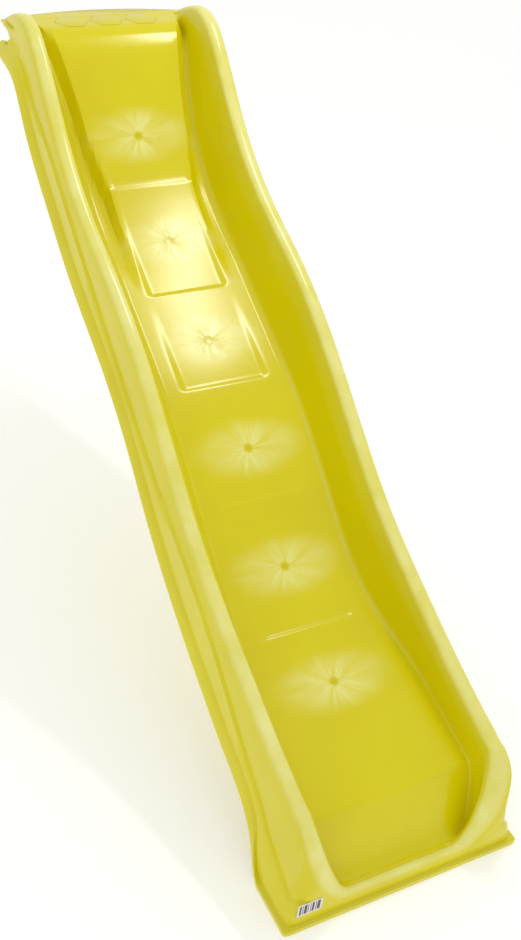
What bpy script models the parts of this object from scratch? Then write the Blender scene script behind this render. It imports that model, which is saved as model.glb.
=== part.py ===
"""One-piece wavy garden slide, moulded in yellow polyethylene, with the hardware that fixes it to a deck.

Frame: +Z up, the ground at z = 0, the foot towards -Y, the deck towards +Y, and +X to the left of someone
who looks down the slide from the deck. It stands as it is used, with the origin under the middle of its box.
Distances along the slide are measured from the toe, the front edge of the foot flange, and are called `d`.
All sizes are in metres.
"""

import math

import bmesh
import bpy
import numpy as np
from mathutils import Matrix

# ---------------------------------------------------------------- driving dimensions
WALL = 0.004                 # moulded wall of the chute
DECK_LIP_TOP = 1.206         # top of the flat lip that hooks over the deck
LIP_REAR = 1.868             # rear edge of the lip on the centre line, from the toe
LIP_REAR_CORNER = LIP_REAR - 0.044  # the same edge at its two corners
RAIL_HALF_WIDTH = 0.2475     # outer edge of the rail
LIP_HALF_WIDTH = RAIL_HALF_WIDTH + 0.0085
LIP_PLATE = 0.0055           # thickness of the rear rim of the lip
FRONT_FACE = 0.009           # front face of the foot, behind the edge of its flange
FLANGE_HALF_WIDTH = RAIL_HALF_WIDTH + 0.0370
FLANGE_HEIGHT = 0.011

BED_HALF_WIDTH = 0.152       # flat of the bed, where the cove to the side wall starts
BED_EXIT_HALF_WIDTH = 0.196  # the same at the exit
BED_LIP_HALF_WIDTH = 0.200   # the same at the lip
EXIT_WIDENING = (0.28, 0.60)  # where the bed widens towards the exit
LIP_WIDENING = (LIP_REAR - 0.318, LIP_REAR - 0.068)  # and towards the lip
BED_FRONT = 0.046            # where the bed ends at the exit lip
# Half width of the raised middle of the start section, between two channels, as (d, half width).
SHOULDER_LINE = [(LIP_REAR - 0.413, 0.112), (LIP_REAR - 0.315, 0.133), (LIP_REAR - 0.235, 0.144),
                 (LIP_REAR - 0.176, 0.158), (LIP_REAR - 0.133, 0.176), (LIP_REAR - 0.073, 0.200)]
CHANNEL_DEPTH = 0.034
CHANNEL_START = (LIP_REAR - 0.648, LIP_REAR - 0.368)  # where the channels start and reach their depth
CHANNEL_END = (LIP_REAR - 0.078, LIP_REAR - 0.033)
BEAD_STEP = 0.0055           # sideways step of the upper bead line on the skirt
BAND_STEP = 0.007            # sideways step above the bottom band of the skirt
BAND_HEIGHT = 0.028          # height of the bottom band
FOOT_LENGTH = 0.128          # how far the side skirt runs along the ground

CAP_SIDE = 0.0425            # side of a hexagonal cover cap, points towards +X and -X
CAP_PITCH = 2 * CAP_SIDE + 0.0061
CAP_THICKNESS = 0.0025
CAP_STATION = LIP_REAR - 0.085
FIT_CLEARANCE = 0.0003
POCKET_WALL = 0.004
RING_WALL = 0.0016           # snap ring under each cap
RING_DEPTH = 0.0045
SCREW_RADIUS = 0.004
SCREW_LENGTH = 0.050
SCREW_HOLE_RADIUS = SCREW_RADIUS + 0.0006
HEAD_RADIUS = 0.0075
HEAD_HEIGHT = 0.0042
WASHER_RADIUS = 0.012
WASHER_THICKNESS = 0.0016
HEAD_ROOM = 0.0016           # between the screw's head and its cap
WELL_RADIUS = WASHER_RADIUS + 0.009
WELL_DEPTH = CAP_THICKNESS + HEAD_ROOM + HEAD_HEIGHT + WASHER_THICKNESS + 2 * FIT_CLEARANCE

LABEL_WIDTH = 0.056
LABEL_HEIGHT = 0.038
LABEL_THICKNESS = 0.0002
LABEL_CENTRE = (0.0185 - RAIL_HALF_WIDTH, 0.0585)  # (x, height) on the front face

# Side view of the slide as (d, height): the crest of the rail, the bed and the upper bead of the skirt. It is
# drawn for the length and the lip's height below. Other sizes stretch it past the foot, which stays as it is.
DRAWN_SIZE = (1.868, 1.206)
FOOT_SIZE = (0.24, 0.23)     # up to here along and up, the lines belong to the foot
RAIL_LINE = [(0.090, 0.254), (0.192, 0.290), (0.405, 0.385), (0.623, 0.502), (0.780, 0.620), (0.937, 0.743),
             (1.124, 0.854), (1.296, 0.932), (1.478, 1.063), (1.590, 1.178), (1.655, 1.232), (1.710, 1.247),
             (1.775, 1.234), (1.835, 1.207)]
BED_LINE = [(0.117, 0.177), (0.368, 0.250), (0.629, 0.371), (0.854, 0.548), (1.097, 0.691), (1.339, 0.823),
            (1.562, 1.011), (1.683, 1.166)]
EXIT_SCOOP = [(0.046, 0.0385), (0.060, 0.052), (0.080, 0.094), (0.117, 0.177)]
BEAD_LINE = [(0.030, 0.045), (0.250, 0.190), (0.510, 0.388), (0.775, 0.535), (1.065, 0.720), (1.300, 0.880),
             (1.600, 1.080), (1.820, 1.170)]
CREASE_SOFTNESS = 0.006      # how widely the creases at the start and the exit are rounded
PAD_TOP = DECK_LIP_TOP - 0.0005  # height of the start pad, which is level behind PAD_FLAT
PAD_FLAT = LIP_REAR - 0.113
PAD_BEND = 15.2              # its curvature in front of that, over the length PAD_ROLL
PAD_ROLL = 0.065
PAD_START = LIP_REAR - 0.268  # ahead of this the bed is the wavy slope alone
# Crest of the rim where it turns the corner into the exit lip, by its run from the middle of the exit.
EXIT_LIP = 0.044             # height at the middle
EXIT_LIP_RISE = (0.132, 0.268)  # where it starts and ends its climb to the rail
RAIL_END = 0.254             # height at the end of that climb
# Lower edge of the skirt as (d, height), from where it leaves the ground.
LOWER_LINE = [(FOOT_LENGTH, 0.0), (0.155, 0.026), (0.190, 0.073), (0.240, 0.125), (0.320, 0.168), (0.477, 0.248),
              (0.635, 0.341), (0.785, 0.451), (0.925, 0.571), (1.090, 0.679), (1.285, 0.781), (1.460, 0.901),
              (1.617, 1.033), (1.675, 1.096), (1.745, 1.123), (1.815, 1.135)]

TOE = -LIP_REAR / 2          # y of the toe, so that the box is centred on the origin
CAP_BOTTOM = DECK_LIP_TOP - CAP_THICKNESS
WELL_FLOOR = DECK_LIP_TOP - WELL_DEPTH

# The loops of the chute's wall, from the edge of the bed outwards. Each has its half width, its distance
# from the toe at the exit and its corner radius there, and how far it lies under the crest of the rim at
# the sides and at the exit.
WALL_LOOPS = [(RAIL_HALF_WIDTH - 0.0385, 0.0310, 0.062, 0.0130, 0.0045),
              (RAIL_HALF_WIDTH - 0.0363, 0.0285, 0.060, 0.0062, 0.0022),
              (RAIL_HALF_WIDTH - 0.0315, 0.0250, 0.058, 0.0017, 0.0006),
              (RAIL_HALF_WIDTH - 0.0250, 0.0210, 0.055, 0.0000, 0.0000),
              (RAIL_HALF_WIDTH - 0.0135, 0.0160, 0.052, 0.0003, 0.0005),
              (RAIL_HALF_WIDTH - 0.0070, 0.0130, 0.047, 0.0026, 0.0026),
              (RAIL_HALF_WIDTH - 0.0025, 0.0112, 0.043, 0.0078, 0.0065),
              (RAIL_HALF_WIDTH, 0.0100, 0.038, 0.0170, 0.0125)]
# The cove between the bed and the wall, as shares of the way out and of the way up.
COVE = [(0.10, 0.035), (0.22, 0.125), (0.38, 0.300), (0.70, 0.660)]
BED_CORNER = 0.065           # corner radius of the bed at the exit
SKIRT_CORNERS = [0.028, 0.014, 0.010, 0.008, 0.008]
FOOT_FLARE = 0.017           # how far the foot of the skirt flares out above its flange
REAR_OF_WALL = LIP_REAR - 0.028
# Where the skirt ends, from the rail's outer edge down to the lower edge.
REAR_OF_SKIRT = [LIP_REAR - back for back in (0.068, 0.100, 0.092, 0.068, 0.058, 0.053)]
BED_COLUMNS = [0.0, 0.35, 0.66, 0.81, 0.87, 0.93, 1.0]
ROW_STEP = 0.055             # usual distance between stations along the chute
FINE_ROWS = [0.046, 0.054, 0.064, 0.078, 0.092, 0.106, 0.114, 0.122, 0.135, 0.155, 0.185]
LAST_ROWS = [*(LIP_REAR - back for back in (0.228, 0.206, 0.194, 0.186, 0.178, 0.166, 0.146, 0.123, 0.093, 0.063)),
             REAR_OF_WALL]


def stretched(points):
    """Fits a drawn side-view line to the slide's length and the height of its lip."""
    return [tuple(foot + (at - foot) * (size - foot) / (drawn - foot) if at > foot else at
                  for at, foot, size, drawn in zip(point, FOOT_SIZE, (LIP_REAR, DECK_LIP_TOP), DRAWN_SIZE))
            for point in points]


def smooth_line(points):
    """Returns a function that runs a natural cubic spline through the points, and goes straight on past them."""
    x, z = np.array(points, float).T
    h = np.diff(x)
    n = len(x)
    matrix, right = np.eye(n), np.zeros(n)
    for i in range(1, n - 1):
        matrix[i, i - 1:i + 2] = h[i - 1], 2 * (h[i - 1] + h[i]), h[i]
        right[i] = 6 * ((z[i + 1] - z[i]) / h[i] - (z[i] - z[i - 1]) / h[i - 1])
    bend = np.linalg.solve(matrix, right)
    first = (z[1] - z[0]) / h[0] - h[0] * bend[1] / 6
    last = (z[-1] - z[-2]) / h[-1] + h[-1] * bend[-2] / 6

    def value(at):
        if at <= x[0]:
            return z[0] + first * (at - x[0])
        if at >= x[-1]:
            return z[-1] + last * (at - x[-1])
        i = int(np.searchsorted(x, at)) - 1
        a, b = x[i + 1] - at, at - x[i]
        cubic = bend[i] * (a ** 3 / h[i] - h[i] * a) + bend[i + 1] * (b ** 3 / h[i] - h[i] * b)
        return cubic / 6 + (z[i] * a + z[i + 1] * b) / h[i]

    return value


def smooth_step(low, high, at):
    """Rises from 0 at low to 1 at high, with level ends."""
    t = min(max((at - low) / (high - low), 0.0), 1.0)
    return t * t * (3 - 2 * t)


def soft_min(a, b):
    """The lower of two heights, rounded where they cross."""
    return (a + b - math.hypot(a - b, CREASE_SOFTNESS)) / 2


rail_height = smooth_line(stretched(RAIL_LINE))
bead_height = smooth_line(stretched(BEAD_LINE))
slope_height = smooth_line(stretched(BED_LINE))
scoop_height = smooth_line(EXIT_SCOOP)
lower_height = smooth_line(stretched(LOWER_LINE))


def pad_height(d):
    """Height of the start pad: level at the rear, then rolled over and straight on down the slope."""
    ahead = max(0.0, PAD_FLAT - d)
    rolled = min(ahead, PAD_ROLL)
    return PAD_TOP - PAD_BEND * (rolled * rolled / 2 + PAD_ROLL * (ahead - rolled))


def exit_rim(run):
    """Height of the rim's crest round the exit."""
    return EXIT_LIP + (RAIL_END - EXIT_LIP) * smooth_step(*EXIT_LIP_RISE, run)


def bed_half_width(d):
    """Half width of the bed, which widens towards the exit and towards the lip."""
    return (BED_HALF_WIDTH + (BED_EXIT_HALF_WIDTH - BED_HALF_WIDTH) * (1 - smooth_step(*EXIT_WIDENING, d))
            + (BED_LIP_HALF_WIDTH - BED_HALF_WIDTH) * smooth_step(*LIP_WIDENING, d))


def bed_height(d, x):
    """Height of the bed, which has a channel along each side of its raised start section."""
    height = soft_min(slope_height(d), pad_height(d) if d > PAD_START else scoop_height(d))
    channel = CHANNEL_DEPTH * smooth_step(*CHANNEL_START, d) * (1 - smooth_step(*CHANNEL_END, d))
    shoulder = float(np.interp(d, *zip(*SHOULDER_LINE)))
    return height - channel * smooth_step(shoulder - 0.006, shoulder + 0.014, abs(x))


def rounded(x, d, half_width, front, radius):
    """Moves a point in the corner square of an outline onto the corner's arcs, and leaves the rest in place."""
    across = (abs(x) - (half_width - radius)) / radius
    along = (front + radius - d) / radius
    if across <= 0 or along <= 0:
        return x, d
    reach = max(across, along)
    turn = math.pi / 4 * min(across, along) / reach
    angle = turn if across >= along else math.pi / 2 - turn
    return (math.copysign(half_width - radius + radius * reach * math.cos(angle), x),
            front + radius - radius * reach * math.sin(angle))


def stations():
    """Distances of the bed's rows from the toe, closer together at the two creases."""
    middle = np.linspace(FINE_ROWS[-1], LAST_ROWS[0], round((LAST_ROWS[0] - FINE_ROWS[-1]) / ROW_STEP) + 1)
    return [*FINE_ROWS, *middle[1:-1], *LAST_ROWS]


def path_nodes(rows):
    """The bed's border from the left rear, round the exit, to the right rear, as (side, row or share of the width)."""
    shares = [*(-c for c in reversed(BED_COLUMNS[1:])), *BED_COLUMNS]
    left = [("left", d) for d in reversed(rows)]
    return [*left, *(("exit", c) for c in shares[1:-1]), *(("right", d) for d in rows)]


def placed(node, half_width, front, radius, rear):
    """Plan position of a border node on one loop of the wall."""
    side, at = node
    if side == "exit":
        return rounded(at * half_width, front, half_width, front, radius)
    d = at + (front - BED_FRONT) * max(0.0, 1 - (at - BED_FRONT) / 0.30)
    d += (rear - REAR_OF_WALL) * max(0.0, 1 - (REAR_OF_WALL - at) / 0.12)
    return rounded(-half_width if side == "left" else half_width, d, half_width, front, radius)


def crest_heights(nodes):
    """Height of the rim's crest at each border node: the rail's line, turning down into the exit lip."""
    width, front, radius = WALL_LOOPS[3][:3]
    plan = [placed(node, width, front, radius, REAR_OF_WALL) for node in nodes]
    run = np.concatenate([[0.0], np.cumsum([math.dist(a, b) for a, b in zip(plan, plan[1:])])])
    run = np.abs(run - run[-1] / 2)
    turn = EXIT_LIP_RISE[1]
    heights = []
    for (_, d), s in zip(plan, run):
        share = smooth_step(turn - 0.03, turn + 0.04, s)
        heights.append((1 - share) * exit_rim(s) + share * rail_height(d))
    return heights


def skirt_heights(node, d, crest):
    """Heights of the five loops under the rail's outer edge, and how far the node is on the ground."""
    side = 0.0 if node[0] == "exit" else 1.0
    beside_corner = side * smooth_step(0.0, 0.05, d)
    lower = side * max(0.0, lower_height(d)) if d > FOOT_LENGTH else 0.0
    grounded = 1 - smooth_step(0.0, 0.10, lower)
    band = lower + BAND_HEIGHT + (FLANGE_HEIGHT - BAND_HEIGHT) * grounded
    bead = min(max(bead_height(d), band + 0.016), crest - 0.034)
    bead = beside_corner * bead + (1 - beside_corner) * (band + 0.55 * (crest - 0.02 - band))
    return (bead + 0.004, bead - 0.004, band + 0.004 - 0.0025 * grounded, band - 0.004 + 0.0035 * grounded,
            lower), grounded, beside_corner


def wall_points(node, crest, floor):
    """The wall's section at one border node, from the edge of the bed out to the skirt's lower edge."""
    top_width, top_front, top_radius, side_drop, exit_drop = WALL_LOOPS[0]
    at_exit = 1.0 if node[0] == "exit" else 1 - smooth_step(0.05, 0.16, node[1])
    top = crest - side_drop - (exit_drop - side_drop) * at_exit
    points = []
    half = bed_half_width(BED_FRONT if node[0] == "exit" else node[1])
    for out, up in COVE:
        x, d = placed(node, half + out * (top_width - half),
                      BED_FRONT + out * (top_front - BED_FRONT), BED_CORNER + out * (top_radius - BED_CORNER),
                      REAR_OF_WALL)
        points.append((x, d, floor + up * (top - floor)))
    for half_width, front, radius, side_drop, exit_drop in WALL_LOOPS[:-1]:
        x, d = placed(node, half_width, front, radius, REAR_OF_WALL)
        points.append((x, d, crest - side_drop - (exit_drop - side_drop) * at_exit))
    half_width, front, radius, side_drop, exit_drop = WALL_LOOPS[-1]
    x, d = placed(node, half_width, front, radius, REAR_OF_SKIRT[0])
    points.append((x, d, crest - side_drop - (exit_drop - side_drop) * at_exit))

    heights, grounded, beside_corner = skirt_heights(node, d, crest)
    bead, band = BEAD_STEP * beside_corner, BAND_STEP * beside_corner * (1 - grounded)
    flare = FOOT_FLARE * grounded
    upper, lower = RAIL_HALF_WIDTH + 0.0025, RAIL_HALF_WIDTH + 0.0055
    widths = [upper + 0.3 * flare, upper + bead + 0.35 * flare, lower + bead + flare,
              (lower + bead + band) * (1 - grounded) + FLANGE_HALF_WIDTH * grounded]
    widths.append(widths[-1] + 0.006 * (1 - grounded))
    fronts = [FRONT_FACE, FRONT_FACE, FRONT_FACE, FRONT_FACE * (1 - grounded), FRONT_FACE * (1 - grounded)]
    for half_width, front, height, corner, rear in zip(widths, fronts, heights, SKIRT_CORNERS, REAR_OF_SKIRT[1:]):
        x, d = placed(node, half_width, front, corner, rear)
        points.append((x, d, height))
    return points


def chute_surface():
    """The moulded skin of the chute as one open sheet: a grid for the bed, and loops of wall around it."""
    rows = stations()
    shares = [*(-c for c in reversed(BED_COLUMNS[1:])), *BED_COLUMNS]
    mesh = bmesh.new()
    grid = []
    for d in rows:
        line = []
        half = bed_half_width(d)
        for share in shares:
            x, at = rounded(share * half, d, half, BED_FRONT, BED_CORNER)
            line.append(mesh.verts.new((x, TOE + at, bed_height(at, x))))
        grid.append(line)
    for near, far in zip(grid, grid[1:]):
        for i in range(len(shares) - 1):
            mesh.faces.new((near[i], near[i + 1], far[i + 1], far[i]))
    border = [*(line[0] for line in reversed(grid)), *grid[0][1:-1], *(line[-1] for line in grid)]
    nodes = path_nodes(rows)
    inner = border
    sections = [wall_points(node, crest, vert.co.z)
                for node, crest, vert in zip(nodes, crest_heights(nodes), border)]
    for loop in zip(*sections):
        outer = [mesh.verts.new((x, TOE + d, z)) for x, d, z in loop]
        for i in range(len(nodes) - 1):
            mesh.faces.new((inner[i], inner[i + 1], outer[i + 1], outer[i]))
        inner = outer
    bmesh.ops.recalc_face_normals(mesh, faces=mesh.faces)
    mesh.faces.ensure_lookup_table()
    if mesh.faces[len(shares) * 10].normal.z < 0:
        bmesh.ops.reverse_faces(mesh, faces=mesh.faces)
    return mesh


# ---------------------------------------------------------------- scene helpers
def clear_scene():
    """Removes the startup objects."""
    for obj in list(bpy.data.objects):
        bpy.data.objects.remove(obj, do_unlink=True)


def make_collection(name, helpers=False):
    """A new collection in the scene. A collection of helpers is left out of renders."""
    collection = bpy.data.collections.new(name)
    bpy.context.scene.collection.children.link(collection)
    collection.hide_render = helpers
    return collection


def make_material(name, color, roughness, metallic=0.0):
    """A Principled BSDF material with one colour, roughness and metallic value."""
    material = bpy.data.materials.new(name)
    material.use_nodes = True
    shader = material.node_tree.nodes["Principled BSDF"]
    shader.inputs["Base Color"].default_value = (*color, 1.0)
    shader.inputs["Roughness"].default_value = roughness
    shader.inputs["Metallic"].default_value = metallic
    return material


def add_object(name, mesh, collection, material=None):
    """Turns a bmesh into an object of the collection."""
    data = bpy.data.meshes.new(name)
    mesh.to_mesh(data)
    mesh.free()
    obj = bpy.data.objects.new(name, data)
    collection.objects.link(obj)
    if material:
        data.materials.append(material)
    return obj


def as_cutter(obj):
    """Keeps a helper solid out of the model."""
    obj.hide_render = True
    obj.display_type = "WIRE"
    return obj


def boolean(obj, other, operation):
    """Joins another solid to the object, or cuts it away."""
    modifier = obj.modifiers.new(other.name, "BOOLEAN")
    modifier.operation = operation
    modifier.object = other


def prism(mesh, sides, radius, bottom, top, x, y):
    """Adds an upright prism or cylinder to a bmesh, with a corner towards +X."""
    centre = Matrix.Translation((x, y, (top + bottom) / 2)) @ Matrix.Rotation(math.pi / 2, 4, "Z")
    bmesh.ops.create_cone(mesh, cap_ends=True, segments=sides, radius1=radius, radius2=radius,
                          depth=top - bottom, matrix=centre)


def turned(name, profile, collection, material, x, y, steps=32):
    """A turned piece from a profile of (radius, height), top to bottom down its outer side."""
    mesh = bmesh.new()
    verts = [mesh.verts.new((radius, 0.0, height)) for radius, height in profile]
    for a, b in zip(verts, verts[1:]):
        mesh.edges.new((a, b))
    obj = add_object(name, mesh, collection, material)
    obj.location = (x, y, 0.0)
    screw = obj.modifiers.new("turn", "SCREW")
    screw.steps = screw.render_steps = steps
    screw.use_merge_vertices = True
    screw.merge_threshold = 0.00001
    return obj


# ---------------------------------------------------------------- the chute
def add_chute(collection, cutters, material):
    """The moulded chute: its skin given a wall, the rear rim and the fixing pockets joined on and cut out."""
    chute = add_object("chute", chute_surface(), collection, material)
    solidify = chute.modifiers.new("wall", "SOLIDIFY")
    solidify.thickness = WALL
    solidify.offset = -1.0
    solidify.use_even_offset = True
    steps = [("rear_rim", rear_rim(), "UNION"), ("fixing_bar", fixing_bar(), "UNION"),
             ("cap_seats", pockets(6, CAP_SIDE + FIT_CLEARANCE, CAP_BOTTOM - FIT_CLEARANCE), "DIFFERENCE"),
             ("screw_wells", pockets(32, WELL_RADIUS, WELL_FLOOR), "DIFFERENCE"),
             ("screw_holes", pockets(16, SCREW_HOLE_RADIUS, WELL_FLOOR - 2 * POCKET_WALL), "DIFFERENCE")]
    for name, mesh, operation in steps:
        boolean(chute, as_cutter(add_object(name, mesh, cutters)), operation)


def rear_rim():
    """The thin strip behind the start section, with a bowed rear edge and an ear past each rail."""
    rear = [(x * LIP_HALF_WIDTH / 8, LIP_REAR - (LIP_REAR - LIP_REAR_CORNER) * (x / 8) ** 2) for x in range(-8, 9)]
    front_in, front_ear, ear_width = LIP_REAR - 0.054, LIP_REAR - 0.126, RAIL_HALF_WIDTH - 0.0115
    outline = [*rear, (LIP_HALF_WIDTH, front_ear + 0.02), (LIP_HALF_WIDTH - 0.008, front_ear),
               (ear_width, front_ear), (ear_width, front_in), (-ear_width, front_in), (-ear_width, front_ear),
               (0.008 - LIP_HALF_WIDTH, front_ear), (-LIP_HALF_WIDTH, front_ear + 0.02)]
    mesh = bmesh.new()
    face = mesh.faces.new([mesh.verts.new((x, TOE + d, DECK_LIP_TOP - LIP_PLATE)) for x, d in outline])
    grown = bmesh.ops.extrude_face_region(mesh, geom=[face])
    for item in grown["geom"]:
        if isinstance(item, bmesh.types.BMVert):
            item.co.z = DECK_LIP_TOP
    bmesh.ops.recalc_face_normals(mesh, faces=mesh.faces)
    return mesh


def cap_places():
    """Centres of the three fixings."""
    return [(i * CAP_PITCH, TOE + CAP_STATION) for i in (-1, 0, 1)]


def fixing_bar():
    """The bar under the lip that holds the three wells and rests on the deck."""
    mesh = bmesh.new()
    half = CAP_PITCH + CAP_SIDE + POCKET_WALL
    low, high = WELL_FLOOR - POCKET_WALL, DECK_LIP_TOP - 0.0022
    depth = CAP_SIDE * math.sqrt(3) / 2 + POCKET_WALL
    made = bmesh.ops.create_cube(mesh, size=1.0)
    for vert in made["verts"]:
        vert.co = (vert.co.x * 2 * half, TOE + CAP_STATION + vert.co.y * 2 * depth,
                   (low + high) / 2 + vert.co.z * (high - low))
    upright = [edge for edge in mesh.edges if abs(edge.verts[0].co.z - edge.verts[1].co.z) > 0.001]
    bmesh.ops.bevel(mesh, geom=upright, offset=0.018, segments=3, profile=0.5, affect="EDGES")
    return mesh


def pockets(sides, radius, bottom):
    """Three upright prisms, one at each cap's place, that cut from above the lip down to a height."""
    mesh = bmesh.new()
    for x, y in cap_places():
        prism(mesh, sides, radius, bottom, DECK_LIP_TOP + 0.010, x, y)
    return mesh


# ---------------------------------------------------------------- the fixings and the label
def add_cap(number, place, collection, cutters, material):
    """A hexagonal cover cap with a snap ring under it."""
    x, y = place
    mesh = bmesh.new()
    prism(mesh, 6, CAP_SIDE, CAP_BOTTOM, DECK_LIP_TOP, 0.0, 0.0)
    cap = add_object(f"cover_cap_{number}", mesh, collection, material)
    cap.location = (x, y, 0.0)
    outer = WELL_RADIUS - FIT_CLEARANCE
    ring = as_cutter(turned(f"snap_ring_{number}",
                            [(outer - RING_WALL, CAP_BOTTOM + 0.001), (outer, CAP_BOTTOM + 0.001),
                             (outer, CAP_BOTTOM - RING_DEPTH), (outer - RING_WALL, CAP_BOTTOM - RING_DEPTH),
                             (outer - RING_WALL, CAP_BOTTOM + 0.001)], cutters, None, x, y))
    boolean(cap, ring, "UNION")


def add_fixing(number, place, collection, steel):
    """A round-head screw and its washer in one well, clear of the floor and of each other by the fit clearance."""
    x, y = place
    washer_bottom = WELL_FLOOR + FIT_CLEARANCE
    washer_top = washer_bottom + WASHER_THICKNESS
    head_bottom = washer_top + FIT_CLEARANCE
    head_top = head_bottom + HEAD_HEIGHT
    turned(f"washer_{number}",
           [(SCREW_HOLE_RADIUS, washer_top), (WASHER_RADIUS, washer_top), (WASHER_RADIUS, washer_bottom),
            (SCREW_HOLE_RADIUS, washer_bottom), (SCREW_HOLE_RADIUS, washer_top)], collection, steel, x, y)
    turned(f"deck_screw_{number}",
           [(0.0, head_top), (HEAD_RADIUS * 0.6, head_top - HEAD_HEIGHT * 0.15),
            (HEAD_RADIUS, head_bottom + HEAD_HEIGHT * 0.25), (HEAD_RADIUS, head_bottom),
            (SCREW_RADIUS, head_bottom), (SCREW_RADIUS, head_bottom - SCREW_LENGTH + 0.006),
            (0.0, head_bottom - SCREW_LENGTH)], collection, steel, x, y)


def add_label(collection, material):
    """The sticker low on the left of the front face."""
    x, z = LABEL_CENTRE
    mesh = bmesh.new()
    bmesh.ops.create_cube(mesh, size=1.0)
    bmesh.ops.scale(mesh, vec=(LABEL_WIDTH, LABEL_THICKNESS, LABEL_HEIGHT), verts=mesh.verts)
    label = add_object("barcode_label", mesh, collection, material)
    label.location = (x, TOE + FRONT_FACE - FIT_CLEARANCE, z)


def main():
    """Builds the slide."""
    clear_scene()
    parts = make_collection("wave_slide")
    cutters = make_collection("cutters", helpers=True)
    yellow = make_material("yellow_polyethylene", (0.66, 0.60, 0.01), 0.28)
    steel = make_material("zinc_plated_steel", (0.55, 0.56, 0.57), 0.35, metallic=1.0)
    white = make_material("label_film", (0.82, 0.82, 0.80), 0.45)
    add_chute(parts, cutters, yellow)
    for number, place in enumerate(cap_places(), 1):
        add_cap(number, place, parts, cutters, yellow)
        add_fixing(number, place, parts, steel)
    add_label(parts, white)


main()
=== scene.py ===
"""Looks of a one-piece wavy garden slide in glossy yellow polyethylene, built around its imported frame.

Units are metres, +Z is up and the ground is z = 0. The foot is towards -Y and the deck towards +Y.
Distances along the slide are measured from the front edge of the foot flange, the toe, and are called d.
"""

from __future__ import annotations

import logging
import math
from dataclasses import dataclass, field
from enum import Enum
from typing import Any, Sequence

import bmesh
import bpy
import numpy as np
from mathutils import Matrix, Vector

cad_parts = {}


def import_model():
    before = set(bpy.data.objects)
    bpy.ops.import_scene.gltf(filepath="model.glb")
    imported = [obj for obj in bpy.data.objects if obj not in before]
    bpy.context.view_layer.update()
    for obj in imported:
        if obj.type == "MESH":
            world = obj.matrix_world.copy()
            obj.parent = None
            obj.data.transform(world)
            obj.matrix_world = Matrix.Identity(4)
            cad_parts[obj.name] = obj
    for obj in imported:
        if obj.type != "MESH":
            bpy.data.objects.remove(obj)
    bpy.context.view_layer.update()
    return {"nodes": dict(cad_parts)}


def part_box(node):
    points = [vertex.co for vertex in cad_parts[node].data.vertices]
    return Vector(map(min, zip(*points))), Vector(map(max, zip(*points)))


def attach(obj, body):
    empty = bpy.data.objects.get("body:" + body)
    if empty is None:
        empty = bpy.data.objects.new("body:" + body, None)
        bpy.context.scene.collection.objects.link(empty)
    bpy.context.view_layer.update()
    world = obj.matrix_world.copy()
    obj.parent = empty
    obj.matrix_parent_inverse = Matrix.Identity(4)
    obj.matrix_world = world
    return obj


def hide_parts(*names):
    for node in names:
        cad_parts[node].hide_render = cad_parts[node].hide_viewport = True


LOG = logging.getLogger("wave_slide")
LEVEL = 0.001  # ends of an edge that differ by less than this are at one height
Point = tuple[float, float, float]
Plan = tuple[float, float]
Span = tuple[float, float, float]  # from, to and step
Socket = bpy.types.NodeSocket
Material = bpy.types.Material
Piece = bpy.types.Object
Mesh = bmesh.types.BMesh
Vert = bmesh.types.BMVert
Edge = bmesh.types.BMEdge


class Body(Enum):
    """The rigid bodies of the frame that pieces ride on."""

    SLIDE = "slide_body"
    CAP_1 = "cap_1"
    CAP_2 = "cap_2"
    CAP_3 = "cap_3"


class Slot(Enum):
    """The record's material slots."""

    YELLOW = "yellow_polyethylene"
    STEEL = "zinc_plated_steel"
    FILM = "label_film"


# ---------------------------------------------------------------- small tools
def linear(code: str) -> tuple[float, float, float, float]:
    """Turns an sRGB hex colour into linear RGBA.

    Args:
        code: Six hex digits, with or without a leading hash.

    Returns:
        The linear colour with an alpha of 1.
    """
    channels = [int(code.lstrip("#")[i:i + 2], 16) / 255 for i in (0, 2, 4)]
    red, green, blue = (c / 12.92 if c <= 0.04045 else ((c + 0.055) / 1.055) ** 2.4 for c in channels)
    return red, green, blue, 1.0


def smooth_step(low: float, high: float, at: float) -> float:
    """Rises from 0 at low to 1 at high with level ends.

    Args:
        low: Where the rise starts.
        high: Where it ends.
        at: Where it is read.

    Returns:
        The share of the rise, from 0 to 1.
    """
    t = min(max((at - low) / (high - low), 0.0), 1.0)
    return t * t * (3 - 2 * t)


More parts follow.
